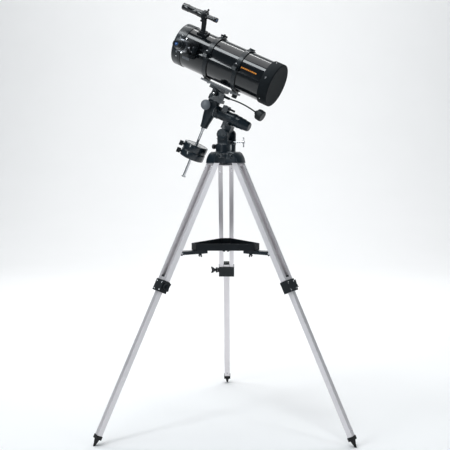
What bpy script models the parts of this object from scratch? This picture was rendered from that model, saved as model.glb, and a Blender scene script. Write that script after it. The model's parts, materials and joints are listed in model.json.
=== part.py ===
# Short reflecting telescope on a German equatorial mount and a three-legged folding stand.
# Metres, +Z up, floor at z = 0, the foot tips stand on it.
import bmesh
import bpy
from math import atan2, cos, hypot, pi, radians, sin
from mathutils import Matrix, Vector

# Stand
footRadius = 0.480
pivotRadius = 0.0376
pivotHeight = 0.9214
legAngles = {"left": 210, "right": 330, "rear": 90}
tripodShift = -0.1168       # the stand's own axis, so the whole part is centred on the origin
strutInner = 0.0115         # half gap between the two struts
strutOuter = 0.0265
strutDepth = 0.018
strutLength = 0.4515
lowerWidth = 0.0216
lowerDepth = 0.0168
clampTop = 0.4520
clampHeight = 0.040
hubTop = 0.937
fit = 0.0003                # play between neighbouring pieces
traySpan = 0.122
trayTop = 0.630
trayDepth = 0.023

# Mount
headHeight = 0.994          # altitude pivot
polarRise = 0.0617          # polar axis above that pivot
headReach = 0.0587          # from above the pivot to the crossing of the two axes
latitude = 24.6
heading = 21.5
polarRadius = 0.0195
azimuthLockRise = -0.0405   # its lock knob, below the altitude pivot
lockPlace = -0.0282         # right ascension lock, along the polar axis

# Optical tube, measured in the head's own frame
tubeRise = 0.1605
tubeRadius = 0.0690
tubeWall = 0.0015
tubeFront = 0.1890
tubeBack = -0.1850
bandRadius = 0.0712
cellRadius = 0.0724
ringPlaces = {"front": 0.056, "rear": -0.056}
ringWidth = 0.0150
ringInner = 0.0693
ringOuter = 0.0733
focuserPlace = 0.126
finderAngle = 32

colours = {
    "black": ((0.012, 0.014, 0.017), 0.30, 0.0),
    "gloss": ((0.008, 0.009, 0.011), 0.12, 0.0),
    "matte": ((0.016, 0.018, 0.020), 0.62, 0.0),
    "casting": ((0.030, 0.038, 0.045), 0.38, 0.3),
    "grey": ((0.150, 0.160, 0.175), 0.40, 0.4),
    "alu": ((0.620, 0.610, 0.640), 0.38, 0.9),
    "chrome": ((0.750, 0.750, 0.760), 0.14, 1.0),
    "mirror": ((0.850, 0.860, 0.880), 0.03, 1.0),
    "rubber": ((0.014, 0.014, 0.015), 0.75, 0.0),
}

for old in list(bpy.data.objects):
    bpy.data.objects.remove(old, do_unlink=True)

turnTo = {
    "X": Matrix.Rotation(pi / 2, 4, "Y"),
    "Y": Matrix.Rotation(-pi / 2, 4, "X"),
    "Z": Matrix.Identity(4),
}


def finished(bm, matrix):
    bmesh.ops.transform(bm, matrix=matrix, verts=bm.verts)
    bmesh.ops.recalc_face_normals(bm, faces=bm.faces)
    mesh = bpy.data.meshes.new("shape")
    bm.to_mesh(mesh)
    bm.free()
    return mesh


def bar(radius, start, end, axis="Z", at=(0, 0, 0), sides=20, endRadius=None, turn=0.0):
    bm = bmesh.new()
    bmesh.ops.create_cone(bm, cap_ends=True, segments=sides, radius1=radius,
                          radius2=radius if endRadius is None else endRadius, depth=end - start)
    place = Matrix.Translation(at) @ turnTo[axis] @ Matrix.Translation((0, 0, (start + end) / 2))
    return finished(bm, place @ Matrix.Rotation(turn, 4, "Z"))


def block(low, high, matrix=Matrix.Identity(4)):
    bm = bmesh.new()
    bmesh.ops.create_cube(bm, size=1.0)
    low = Vector(low)
    high = Vector(high)
    span = high - low
    place = Matrix.Translation((low + high) / 2) @ Matrix.Diagonal((span.x, span.y, span.z, 1))
    return finished(bm, matrix @ place)


def turned(profile, axis="Z", at=(0, 0, 0), sides=24):
    bm = bmesh.new()
    ring = [bm.verts.new((r, 0, h)) for r, h in profile]
    edges = [bm.edges.new((ring[i], ring[(i + 1) % len(ring)])) for i in range(len(ring))]
    bmesh.ops.spin(bm, geom=ring + edges, cent=(0, 0, 0), axis=(0, 0, 1), angle=2 * pi,
                   steps=sides, use_merge=True)
    bmesh.ops.remove_doubles(bm, verts=bm.verts, dist=1e-7)
    bmesh.ops.dissolve_degenerate(bm, dist=1e-7, edges=bm.edges)
    return finished(bm, Matrix.Translation(at) @ turnTo[axis])


def slab(outline, start, end, matrix=Matrix.Identity(4)):
    bm = bmesh.new()
    face = bm.faces.new([bm.verts.new((x, y, start)) for x, y in outline])
    grown = bmesh.ops.extrude_face_region(bm, geom=[face])
    bmesh.ops.translate(bm, vec=(0, 0, end - start),
                        verts=[v for v in grown["geom"] if isinstance(v, bmesh.types.BMVert)])
    return finished(bm, matrix)


def pipe(points, radius, sides=10):
    bm = bmesh.new()
    rings = []
    for i, point in enumerate(points):
        ahead = Vector(points[min(i + 1, len(points) - 1)])
        behind = Vector(points[max(i - 1, 0)])
        turn = (ahead - behind).to_track_quat("Z", "Y").to_matrix().to_4x4()
        circle = bmesh.ops.create_circle(bm, cap_ends=False, segments=sides, radius=radius,
                                         matrix=Matrix.Translation(point) @ turn)
        rings.append(circle["verts"])
    for first, second in zip(rings, rings[1:]):
        for k in range(sides):
            bm.faces.new((first[k], first[(k + 1) % sides], second[(k + 1) % sides], second[k]))
    bm.faces.new(rings[0])
    bm.faces.new(rings[-1])
    return finished(bm, Matrix.Identity(4))


def knobOutline(radius, lobes, depth, steps=4):
    total = lobes * steps
    return [((radius - depth * (k % steps == 0)) * cos(2 * pi * k / total),
             (radius - depth * (k % steps == 0)) * sin(2 * pi * k / total)) for k in range(total)]


def helper(mesh):
    thing = bpy.data.objects.new("helper", mesh)
    bpy.context.scene.collection.objects.link(thing)
    return thing


def solid(name, adds, cuts=(), frame=Matrix.Identity(4), pivot=(0, 0, 0), look="black"):
    host = helper(adds[0])
    host.name = name
    used = []
    for mode, meshes in (("UNION", adds[1:]), ("DIFFERENCE", cuts)):
        for mesh in meshes:
            tool = helper(mesh)
            step = host.modifiers.new(mode, "BOOLEAN")
            step.operation = mode
            step.solver = "EXACT"
            step.object = tool
            used.append(tool)
    ready = host.evaluated_get(bpy.context.evaluated_depsgraph_get())
    mesh = bpy.data.meshes.new_from_object(ready)
    host.modifiers.clear()
    host.data = mesh
    for tool in used:
        bpy.data.objects.remove(tool, do_unlink=True)
    mesh.name = name
    mesh.transform(Matrix.Translation(-Vector(pivot)))
    host.matrix_world = frame @ Matrix.Translation(pivot)
    colour, rough, metal = colours[look]
    material = bpy.data.materials.new(name)
    material.use_nodes = True
    shader = material.node_tree.nodes["Principled BSDF"]
    shader.inputs["Base Color"].default_value = (*colour, 1)
    shader.inputs["Roughness"].default_value = rough
    shader.inputs["Metallic"].default_value = metal
    material.diffuse_color = (*colour, 1)
    mesh.materials.clear()
    mesh.materials.append(material)
    mesh.shade_smooth()
    mesh.set_sharp_from_angle(angle=radians(32))
    return host


# ---------------------------------------------------------------- stand
stand = Matrix.Translation((0, tripodShift, 0))


def spoke(angle):
    return Matrix.Rotation(radians(angle), 4, "Z")


legSpread = atan2(footRadius - pivotRadius, pivotHeight)
legLength = hypot(footRadius - pivotRadius, pivotHeight)
# Each lobe of the hub is a hood over one leg's top: plan at its rim, then how it narrows upwards
lobe = [(0.0, -0.0315), (0.0560, -0.0315), (0.0605, -0.0298), (0.0625, -0.0260)]
lobe += [(x, -y) for x, y in reversed(lobe)]
hoodLevels = [(0.8985, 1.0, 1.0), (0.9140, 0.94, 0.995), (0.9240, 0.86, 0.98), (0.9310, 0.78, 0.955),
              (0.9358, 0.68, 0.88)]


def hood(outline, levels, matrix):
    bm = bmesh.new()
    rows = [[bm.verts.new((x * sx, y * sy, z)) for x, y in outline] for z, sx, sy in levels]
    for low, high in zip(rows, rows[1:]):
        for i in range(len(outline)):
            j = (i + 1) % len(outline)
            bm.faces.new((low[i], low[j], high[j], high[i]))
    bm.faces.new(rows[0][::-1])
    bm.faces.new(rows[-1])
    bmesh.ops.triangulate(bm, faces=bm.faces[:])
    return finished(bm, matrix)


hubAdds = [turned([(0, 0.891), (0.028, 0.891), (0.036, 0.899), (0.036, hubTop), (0, hubTop)])]
hubCuts = [bar(0.0053, 0.880, 0.950, sides=16), bar(0.0095, 0.880, 0.8996, sides=20)]
# Pocket for the leg's round top: up the inner side, over the pivot and down along the leaning leg
pocket = strutOuter + 0.0005
pocketRound = strutDepth / 2 + 0.0009
pocketOutline = [(0.0270, 0.870), (0.0270, 0.9250)]
for k in range(7):
    around = radians(130) + (legSpread - radians(130)) * k / 6
    pocketOutline.append((pivotRadius + pocketRound * cos(around), pivotHeight + pocketRound * sin(around)))
lastRound = pocketOutline[-1]
pocketOutline.append((lastRound[0] + 0.080 * sin(legSpread), lastRound[1] - 0.080 * cos(legSpread)))
for i, angle in enumerate(legAngles.values()):
    hubAdds.append(hood(lobe, hoodLevels, Matrix.Translation((0, 0, i * 0.0001)) @ spoke(angle)))
    hubCuts.append(slab(pocketOutline, -pocket, pocket, spoke(angle) @ Matrix.Rotation(pi / 2, 4, "X")))
    hubCuts.append(bar(0.0033, -0.05, 0.05, "Y", (pivotRadius, 0, pivotHeight), 12))
    hubCuts[-1].transform(spoke(angle))
solid("tripod_hub", hubAdds, hubCuts, stand)
solid("hub_center_bolt", [bar(0.0088, 0.8916, 0.8990, sides=6), bar(0.0050, 0.895, 0.9535, sides=16)],
      frame=stand, look="chrome")

for side, angle in legAngles.items():
    # Leg frame: X across the leg, Z back up towards the hub, Y outwards, origin on the swing pin
    lean = Matrix.Rotation(radians(angle - 90), 4, "Z") @ Matrix.Rotation(legSpread, 4, "X")
    top = stand @ spoke(angle) @ Matrix.Translation((pivotRadius, 0, pivotHeight)) @ spoke(-angle)
    frame = top @ lean
    half = strutDepth / 2
    adds = [block((-strutOuter + 0.0002, -half + 0.0002, -0.034), (strutOuter - 0.0002, half - 0.0002, 0.0)),
            bar(half, -strutOuter + 0.0001, strutOuter - 0.0001, "X", sides=20)]
    for s in (-1, 1):
        adds.append(block((min(s * strutInner, s * strutOuter), -half, -strutLength),
                          (max(s * strutInner, s * strutOuter), half, -0.010)))
    cuts = [bar(0.0033, -0.05, 0.05, "X", sides=12)]
    for s in (-1, 1):
        cuts.append(block((min(s * (strutInner - 0.001), s * (strutOuter - 0.002)), -half + 0.002, -0.60),
                          (max(s * (strutInner - 0.001), s * (strutOuter - 0.002)), half - 0.002, -0.036)))
    solid("leg_%s_upper" % side, adds, cuts, frame, look="alu")

    lowerHalf = lowerWidth / 2
    lowerTopAt = -clampTop + 0.010
    lowerEnd = -(legLength - 0.036)
    solid("leg_%s_lower" % side,
          [block((-lowerHalf, -lowerDepth / 2, lowerEnd), (lowerHalf, lowerDepth / 2, lowerTopAt))],
          (), frame, (0, 0, lowerTopAt), "alu")

    clampCut = [block((-lowerHalf - fit, -lowerDepth / 2 - fit, -0.7),
                      (lowerHalf + fit, lowerDepth / 2 + fit, -0.3)),
                bar(0.0028, -0.034, -0.010, "X", (0, 0, -clampTop - 0.018), 12)]
    solid("leg_%s_clamp" % side,
          [block((-0.0285, -0.0125, -clampTop - clampHeight), (0.0285, 0.0125, -clampTop)),
           bar(0.0085, -0.033, -0.020, "X", (0, 0, -clampTop - 0.018), 20)],
          clampCut, frame)
    wing = slab([(-0.0135, -0.0035), (-0.0075, -0.0075), (0.0075, -0.0075), (0.0135, -0.0035),
                 (0.0135, 0.0035), (0.0075, 0.0075), (-0.0075, 0.0075), (-0.0135, 0.0035)],
                0.036, 0.058, Matrix.Translation((0, 0, -clampTop - 0.018)) @ Matrix.Rotation(-pi / 2, 4, "Y"))
    solid("clamp_knob_%s" % side,
          [bar(0.0100, -0.0400, -0.0335, "X", (0, 0, -clampTop - 0.018), 20),
           bar(0.0025, -0.039, -0.0118, "X", (0, 0, -clampTop - 0.018), 12), wing],
          (), frame, (-0.036, 0, -clampTop - 0.018))

    plugTop = lowerEnd - fit
    sole = block((-1.0, -1.0, -0.2), (1.0, 1.0, 0.0))
    sole.transform(frame.inverted())
    foot = solid("foot_%s" % side,
                 [block((-0.0125, -0.0100, plugTop - 0.012), (0.0125, 0.0100, plugTop)),
                  bar(0.0060, -legLength + 0.012, plugTop - 0.008, sides=16, endRadius=0.0095),
                  bar(0.0022, -legLength - 0.010, -legLength + 0.016, sides=14, endRadius=0.0060)],
                 [sole], frame, (0, 0, plugTop), "rubber")

# Tray and its three arms
corner = 0.017


def trayRing(grow):
    ring = []
    for angle in (210, 330, 90):
        for s in (-1, 1):
            point = spoke(angle) @ Vector((traySpan - grow, s * (corner - grow * 0.268 * 1.9), 0))
            ring.append((point.x, point.y))
    return ring


trayFloor = trayTop - trayDepth
solid("accessory_tray", [slab(trayRing(0.0), trayFloor, trayTop)],
      [slab(trayRing(0.0022), trayFloor + 0.003, trayTop + 0.01)], stand, (0, 0, trayFloor), "matte")

armHalf = 0.0060
hingeRise = trayFloor - fit - armHalf
legAtHinge = pivotRadius + (pivotHeight - hingeRise) * (footRadius - pivotRadius) / pivotHeight
reach = legAtHinge - (strutDepth / 2 + armHalf + 0.0006) / cos(legSpread)
for side, angle in legAngles.items():
    arm = [(0.074, -0.008), (0.090, -0.012), (reach - 0.010, -0.0150), (reach, -0.0148),
           (reach, 0.0148), (reach - 0.010, 0.0150), (0.090, 0.012), (0.074, 0.008)]
    solid("brace_%s" % side,
          [slab(arm, hingeRise - armHalf + 0.0002, hingeRise + armHalf - 0.0002),
           bar(armHalf, -0.0146, 0.0146, "Y", (reach, 0, hingeRise), 20)],
          [block((0.079, -0.0065, hingeRise - 0.02), (reach - 0.012, 0.0065, hingeRise + 0.0030)),
           bar(0.0022, -0.02, 0.02, "Y", (reach, 0, hingeRise), 12)],
          stand @ spoke(angle), (reach, 0, hingeRise), "casting")

# ---------------------------------------------------------------- mount
yawed = stand @ Matrix.Translation((0, 0, headHeight)) @ Matrix.Rotation(pi - radians(heading), 4, "Z")
# In "yawed" X points along the heading, Y to the front, Z up
solid("azimuth_base",
      [turned([(0, hubTop + fit - headHeight), (0.034, hubTop + fit - headHeight),
               (0.034, 0.9600 - headHeight), (0.0325, 0.9625 - headHeight), (0, 0.9625 - headHeight)]),
       block((-0.0182, -0.0299, -0.036), (0.0182, -0.0191, 0.001)),
       block((-0.0182, 0.0191, -0.036), (0.0182, 0.0299, 0.001)),
       bar(0.0185, -0.030, -0.019, "Y", sides=22), bar(0.0185, 0.019, 0.030, "Y", sides=22),
       block((-0.0260, -0.0296, -0.0357), (0.0, -0.0194, 0.0)),
       bar(0.0180, -0.0296, -0.0194, "Y", (-0.0080, 0, 0), 22),
       block((-0.0175, -0.025, -0.035), (-0.0125, 0.025, -0.0195))],
      [bar(0.0053, -0.070, 0.954 - headHeight, sides=16),
       bar(0.0044, -0.04, 0.04, "Y", sides=16),
       bar(0.0033, -0.030, 0.0, "X", (0, 0, -0.026), 14),
       bar(0.0033, 0.020, 0.040, "X", (0, 0, azimuthLockRise), 14)],
      yawed, look="casting")
azimuthTurn = yawed @ Matrix.Translation((0, 0, azimuthLockRise))
solid("azimuth_lock_knob",
      [bar(0.0030, 0.0205, 0.040, "X", sides=14), turned([(0, 0.0375), (0.0075, 0.0375), (0.0085, 0.040),
                                                  (0.0085, 0.046), (0.0065, 0.0485), (0, 0.0485)], "X")],
      (), azimuthTurn, (0.036, 0, 0))
solid("altitude_pivot_cap",
      [bar(0.0040, -0.033, 0.033, "Y", sides=16), bar(0.0185, 0.0303, 0.0350, "Y", sides=24),
       bar(0.0165, 0.0345, 0.0370, "Y", sides=24), bar(0.0110, -0.0370, -0.0303, "Y", sides=6)],
      [bar(0.0042, 0.0355, 0.040, "Y", (s * 0.0100, 0, s * 0.0035), 14) for s in (-1, 1)],
      yawed, look="casting")
solid("latitude_screw",
      [bar(0.0028, -0.0670, -0.0112, "X", (0, 0, -0.026), 14),
       bar(0.0045, -0.0680, -0.0610, "X", (0, 0, -0.026), 16),
       bar(0.0021, -0.0430, -0.0090, "Z", (-0.0650, 0, 0), 12)],
      (), yawed, (-0.040, 0, -0.026), "chrome")

# Head frame: X along the polar axis to the sky, Y to the viewer, Z up the declination axis
n = Vector((-cos(radians(heading)), sin(radians(heading)), 0))
up = Vector((0, 0, 1))
polarAxis = n * cos(radians(latitude)) + up * sin(radians(latitude))
decAxis = -n * sin(radians(latitude)) + up * cos(radians(latitude))
sideAxis = decAxis.cross(polarAxis)
crossing = Vector((0, 0, headHeight + polarRise)) + polarAxis * headReach
head = stand @ Matrix.Translation(crossing) @ Matrix((polarAxis, sideAxis, decAxis)).transposed().to_4x4()
pivotX = -headReach - polarRise * sin(radians(latitude))
pivotZ = -polarRise * cos(radians(latitude))

solid("polar_housing",
      [bar(polarRadius, -0.0835, -0.0225, "X", sides=20), bar(0.0215, -0.0330, -0.0222, "X", sides=20),
       bar(0.0165, -0.0187, 0.0187, "Y", (pivotX, 0, pivotZ), 24),
       block((pivotX - 0.014, -0.0150, pivotZ), (pivotX + 0.016, 0.0150, -0.0225)),
       block((-0.0830, -0.0145, -0.0400), (pivotX + 0.022, 0.0145, -0.0080)),
       block((-0.0640, -0.004, 0.012), (-0.0435, 0.018, 0.0335))],
      [bar(0.0044, -0.03, 0.03, "Y", (pivotX, 0, pivotZ), 16),
       bar(0.0030, -0.075, -0.0500, "X", (0, 0.008, 0.027), 12),
       bar(0.0030, 0.010, 0.030, "Y", (lockPlace, 0, 0.006), 12)],
      head, (pivotX, 0, pivotZ), "casting")
ribs = [(r, h) for r, h in ((0, -0.0838), (0.0212, -0.0838), (0.0215, -0.0980), (0.0200, -0.1000),
                            (0.0205, -0.1150), (0.0190, -0.1170), (0.0190, -0.1320), (0.0175, -0.1340),
                            (0.0165, -0.1480), (0.0135, -0.1530), (0, -0.1530))]
solid("polar_end_cap", [turned(ribs, "X", sides=20)], (), head, look="casting")
solid("ra_worm_shaft",
      [bar(0.0027, -0.066, -0.0505, "X", (0, 0.008, 0.027), 12), bar(0.0036, -0.0860, -0.0643, "X",
                                                                   (0, 0.008, 0.027), 16)],
      (), head, (-0.07, 0.008, 0.027))
solid("ra_lock_screw",
      [bar(0.0027, 0.0105, 0.0230, "Y", (lockPlace, 0, 0.006), 12),
       turned([(0, 0.0218), (0.0055, 0.0218), (0.0060, 0.0230), (0.0060, 0.0290), (0.0050, 0.0300),
               (0, 0.0300)], "Y", (lockPlace, 0, 0.006), 16)],
      (), head, (lockPlace, 0.02, 0.006))

solid("dec_housing",
      [turned([(0, -0.0680), (0.0115, -0.0680), (0.0130, -0.0660), (0.0145, -0.0520), (0.0185, -0.0300),
               (0.0215, -0.0100), (0.0215, 0.0300), (0.0250, 0.0330), (0.0250, 0.0455), (0, 0.0455)],
              sides=22),
       bar(0.0205, -0.0218, 0.0, "X", sides=20),
       block((-0.0400, 0.0100, 0.0340), (0.0060, 0.0360, 0.0450)),
       block((-0.0400, 0.0255, 0.0400), (0.0060, 0.0360, 0.0670)),
       bar(0.0150, 0.0, 0.0255, "Y", (0.0130, 0, 0.0090), 18)],
      [bar(0.0052, -0.08, -0.045, sides=16),
       bar(0.0033, -0.05, -0.0340, "X", (0, 0.0305, 0.0600), 12),
       bar(0.0030, 0.0290, 0.0500, "Y", (-0.0080, 0, 0.0580), 12),
       bar(0.0115, 0.0350, 0.0500, "Z", sides=24)],
      head, look="casting")
solid("dec_housing_cap",
      [turned([(0, 0.0258), (0.0172, 0.0258), (0.0177, 0.0275), (0.0170, 0.0305), (0, 0.0310)], "Y",
              (0.0130, 0, 0.0090), 24)],
      (), head, (0.013, 0.0258, 0.009), "grey")
solid("dec_lock_knob",
      [bar(0.0027, 0.0295, 0.040, "Y", (-0.0080, 0, 0.0580), 12),
       slab(knobOutline(0.0080, 8, 0.0007, 2), 0.0365, 0.0480,
            Matrix.Translation((-0.0080, 0, 0.0580)) @ turnTo["Y"])],
      (), head, (-0.0080, 0.04, 0.0580))
cable = []
for k in range(9):
    f = k / 8
    cable.append((-0.0560 - 0.108 * f, 0.0305 + 0.006 * f, 0.0600 + 0.0040 * sin(pi * f) - 0.0020 * f * f))
solid("dec_cable",
      [bar(0.0030, -0.0560, -0.0345, "X", (0, 0.0305, 0.0600), 12),
       bar(0.0042, -0.0600, -0.0404, "X", (0, 0.0305, 0.0600), 14), pipe(cable, 0.0023)],
      (), head, look="matte")
knobAt = Vector(cable[-1])
knobRun = (Vector(cable[-1]) - Vector(cable[-2])).normalized()
knobTurn = knobRun.to_track_quat("Z", "Y").to_matrix().to_4x4()
knobFrame = Matrix.Translation(knobAt) @ knobTurn
grip = [turned([(0, 0.0003), (0.0060, 0.0003), (0.0080, 0.0040), (0.0170, 0.0095), (0.0185, 0.0130),
                (0.0185, 0.0290), (0.0165, 0.0315), (0, 0.0315)], sides=10)]
solid("dec_cable_knob", grip, (), head @ knobFrame, look="matte")

solid("counterweight_shaft",
      [bar(0.0049, -0.2480, -0.0455, sides=16), bar(0.0068, -0.0760, -0.0684, sides=6)],
      (), head, look="chrome")
solid("shaft_end_nut", [turned([(0.0055, -0.2530), (0.0080, -0.2525), (0.0080, -0.2487), (0, -0.2483),
                                (0, -0.2530)], sides=20)],
      (), head, (0, 0, -0.25), "chrome")
screwTurn = Matrix.Rotation(radians(42), 4, "Z")
for name, high in (("upper", -0.1300), ("lower", -0.1560)):
    low = high - 0.0255
    mid = (low + high) / 2
    solid("counterweight_" + name,
          [turned([(0.0052, low), (0.0395, low), (0.0425, low + 0.003), (0.0425, high - 0.003),
                   (0.0395, high), (0.0052, high)], sides=28)],
          [bar(0.0033, 0.002, 0.050, "X", (0, 0, mid), 12)], head @ screwTurn, (0, 0, mid), "casting")
    solid("weight_screw_" + name,
          [bar(0.0030, 0.0075, 0.050, "X", (0, 0, mid), 12),
           bar(0.0045, 0.0432, 0.0500, "X", (0, 0, mid), 16),
           slab([(-0.0085, -0.0020), (0.0085, -0.0020), (0.0085, 0.0020), (-0.0085, 0.0020)], 0.047, 0.0600,
                Matrix.Translation((0, 0, mid)) @ turnTo["X"])],
          (), head @ screwTurn, (0.045, 0, mid), "black")

solid("dec_saddle",
      [bar(0.0110, 0.0370, 0.050, sides=24), turned([(0, 0.0458), (0.0235, 0.0458), (0.0235, 0.0500),
                                                  (0.0215, 0.0520), (0.0215, 0.0680), (0, 0.0680)], sides=22),
       block((-0.0300, -0.0190, 0.0676), (0.0300, 0.0190, 0.0785))],
      (), head, (0, 0, 0.046), "casting")

# ---------------------------------------------------------------- cradle and rings
solid("cradle_plate",
      [block((-0.0700, -0.0200, 0.0788), (0.0700, 0.0200, 0.0850))], (), head, (0, 0, 0.079), "grey")


def halfRing(place, upper):
    half = ringWidth / 2
    centre = (place, 0, tubeRise)
    hoop = turned([(ringInner, -half), (ringOuter, -half), (ringOuter, half), (ringInner, half)], "X",
                  centre, 36)
    if upper:
        cut = block((place - 0.05, -0.15, tubeRise - 0.15), (place + 0.05, 0.15, tubeRise + fit))
        low = tubeRise + fit
        high = tubeRise + 0.0055
    else:
        cut = block((place - 0.05, -0.15, tubeRise), (place + 0.05, 0.15, tubeRise + 0.15))
        low = tubeRise - 0.0055
        high = tubeRise
    ear = block((place - half, ringOuter - 0.002, low), (place + half, 0.0900, high))
    return hoop, cut, ear


hingeY = -0.0790
for side, place in ringPlaces.items():
    half = ringWidth / 2
    hoop, cut, ear = halfRing(place, False)
    hinge = (place, hingeY, tubeRise)
    solid("ring_%s_lower" % side,
          [hoop, ear, block((place - half, -0.0130, 0.0853), (place + half, 0.0130, 0.0895)),
           block((place - half, hingeY - 0.001, tubeRise - 0.010), (place + half, -ringInner - 0.001,
                                                                 tubeRise - 0.0022)),
           bar(0.0045, -half, -0.0028, "X", hinge, 16), bar(0.0045, 0.0028, half, "X", hinge, 16)],
          [block((place - 0.05, -0.0742, tubeRise), (place + 0.05, 0.15,
                                                                            tubeRise + 0.15)),
           bar(0.0020, -0.02, 0.02, "X", hinge, 12),
           block((place - 0.0028, hingeY - 0.02, tubeRise - 0.006), (place + 0.0028, hingeY + 0.0050,
                                                                  tubeRise + 0.02))],
          head, (place, 0, tubeRise))
    hoop, cut, ear = halfRing(place, True)
    extra = []
    if side == "front":
        extra = [block((place - half, -0.0090, 0.2310), (place + half, 0.0090, 0.2360)),
                 bar(0.0031, 0.2340, 0.2460, "Z", (place, 0, 0), 14)]
    else:
        extra = [block((place - half, -0.0080, 0.2310), (place + half, 0.0080, 0.2380))]
    solid("ring_%s_upper" % side,
          [hoop, ear, bar(0.0045, -0.0025, 0.0025, "X", hinge, 16),
           block((place - 0.0025, hingeY, tubeRise + 0.0002), (place + 0.0025, -ringInner - 0.001,
                                                             tubeRise + 0.0040))] + extra,
          [block((place - 0.05, -0.0742, tubeRise - 0.15), (place + 0.05, 0.15, tubeRise + fit)),
           bar(0.0020, -0.02, 0.02, "X", hinge, 12),
           bar(0.0024, tubeRise - 0.01, tubeRise + 0.02, "Z", (place, 0.0840, 0), 12)],
          head, hinge)
    solid("ring_%s_knob" % side,
          [bar(0.0021, tubeRise + 0.0004, tubeRise + 0.0120, "Z", (place, 0.0840, 0), 12),
           slab(knobOutline(0.0078, 8, 0.0009, 2), tubeRise + 0.0058, tubeRise + 0.0150,
                Matrix.Translation((place, 0.0840, 0)))],
          (), head, (place, 0.0840, tubeRise))
star = []
for k in range(10):
    r = 0.0125 if k % 2 else 0.0082
    star.append((r * cos(pi * k / 5), r * sin(pi * k / 5)))
solid("piggyback_knob", [slab(star, 0.2363, 0.2425, Matrix.Translation((ringPlaces["front"], 0, 0)))],
      [bar(0.0034, 0.23, 0.26, "Z", (ringPlaces["front"], 0, 0), 14)], head,
      (ringPlaces["front"], 0, 0.2363))

# ---------------------------------------------------------------- optical tube
axis = (0, 0, tubeRise)
inner = tubeRadius - tubeWall
solid("tube",
      [turned([(inner, tubeBack + 0.0105), (tubeRadius, tubeBack + 0.0105),
               (tubeRadius, tubeFront - 0.0025), (inner, tubeFront - 0.0025)], "X", axis, 48)],
      [bar(0.0190, 0.050, 0.090, "Y", (focuserPlace, 0, tubeRise), 24)], head, axis, "gloss")
solid("front_band",
      [turned([(tubeRadius + fit, 0.1550), (bandRadius, 0.1550), (bandRadius, tubeFront - 0.0010),
               (bandRadius - 0.0010, tubeFront), (inner - 0.0010, tubeFront),
               (inner - 0.0010, tubeFront - 0.0022), (tubeRadius + fit, tubeFront - 0.0022)],
              "X", axis, 48)], (), head, axis)
solid("rear_cell",
      [turned([(tubeRadius + fit, tubeBack + 0.0350), (cellRadius, tubeBack + 0.0350),
               (cellRadius, tubeBack + 0.0015), (cellRadius - 0.0015, tubeBack), (0, tubeBack),
               (0, tubeBack + 0.0075), (0.0520, tubeBack + 0.0075), (0.0520, tubeBack + 0.0045),
               (tubeRadius + fit, tubeBack + 0.0045)], "X", axis, 48)],
      (), head, axis, "matte")
solid("primary_mirror", [turned([(0, tubeBack + 0.0078), (0.0570, tubeBack + 0.0078), (0.0570, tubeBack + 0.0230),
                                 (0.0555, tubeBack + 0.0245), (0.0300, tubeBack + 0.0237),
                                 (0, tubeBack + 0.0234)], "X", axis, 32)], (), head, axis, "mirror")
vanes = [turned([(0, 0.1530), (0.0130, 0.1530), (0.0130, 0.1740), (0.0090, 0.1780), (0, 0.1780)], "X", axis, 24)]
for k in range(4):
    spin = Matrix.Translation(axis) @ Matrix.Rotation(pi / 4 + k * pi / 2, 4, "X")
    vanes.append(block((0.1560, -0.0006, 0.008), (0.1720, 0.0006, inner - fit), spin))
vanes.append(bar(0.0050, 0.1440, 0.1560, "X", axis, 16))
vanes.append(bar(0.0150, 0.1080, 0.1480, "X", axis, 24))
slope = Matrix.Translation((focuserPlace, 0, tubeRise)) @ Matrix.Rotation(radians(-45), 4, "Z")
solid("spider", vanes, [block((-0.10, -0.06, -0.06), (0.0, 0.06, 0.06), slope)], head, axis, "matte")

# Focuser on the viewer's side, drawtube sliding out along Y
fx, fz = focuserPlace, tubeRise
seat = bar(tubeRadius + fit, 0.05, 0.20, "X", (0, 0, tubeRise), 48)
solid("focuser_body",
      [block((fx - 0.0290, 0.0560, fz - 0.0290), (fx + 0.0240, 0.0745, fz + 0.0290)),
       bar(0.0215, 0.0600, 0.0880, "Y", (fx, 0, fz), 22),
       bar(0.0240, 0.0700, 0.0750, "Y", (fx, 0, fz), 22),
       block((fx - 0.0300, 0.0700, fz - 0.0120), (fx - 0.0100, 0.0910, fz + 0.0120))],
      [seat, bar(0.0187, 0.04, 0.10, "Y", (fx, 0, fz), 22),
       bar(0.0024, -0.03, 0.03, "Z", (fx - 0.0240, 0.0850, fz), 12)], head, (fx, 0.07, fz))
solid("drawtube",
      [turned([(0.0160, 0.0560), (0.0184, 0.0560), (0.0184, 0.1180), (0.0205, 0.1190), (0.0205, 0.1330),
               (0.0190, 0.1345), (0.0160, 0.1345)], "Y", (fx, 0, fz), 24)],
      (), head, (fx, 0.1, fz), "chrome")
focusAt = (fx - 0.0240, 0.0850, fz)
knobs = [bar(0.0021, -0.030, 0.030, "Z", focusAt, 12)]
for s in (-1, 1):
    knobs.append(bar(0.0095, min(s * 0.0185, s * 0.0300), max(s * 0.0185, s * 0.0300), "Z", focusAt, 24))
solid("focus_knobs", knobs, (), head, focusAt)
solid("eyepiece",
      [turned([(0.0120, 0.1050), (0.0157, 0.1050), (0.0157, 0.1348), (0.0165, 0.1348), (0.0165, 0.1500),
               (0.0144, 0.1540), (0.0130, 0.1680), (0.0120, 0.1730), (0.0070, 0.1720), (0.0058, 0.1690),
               (0, 0.1685), (0, 0.1090), (0.0120, 0.1080)], "Y", (fx, 0, fz), 20)],
      (), head, (fx, 0.135, fz))

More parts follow.
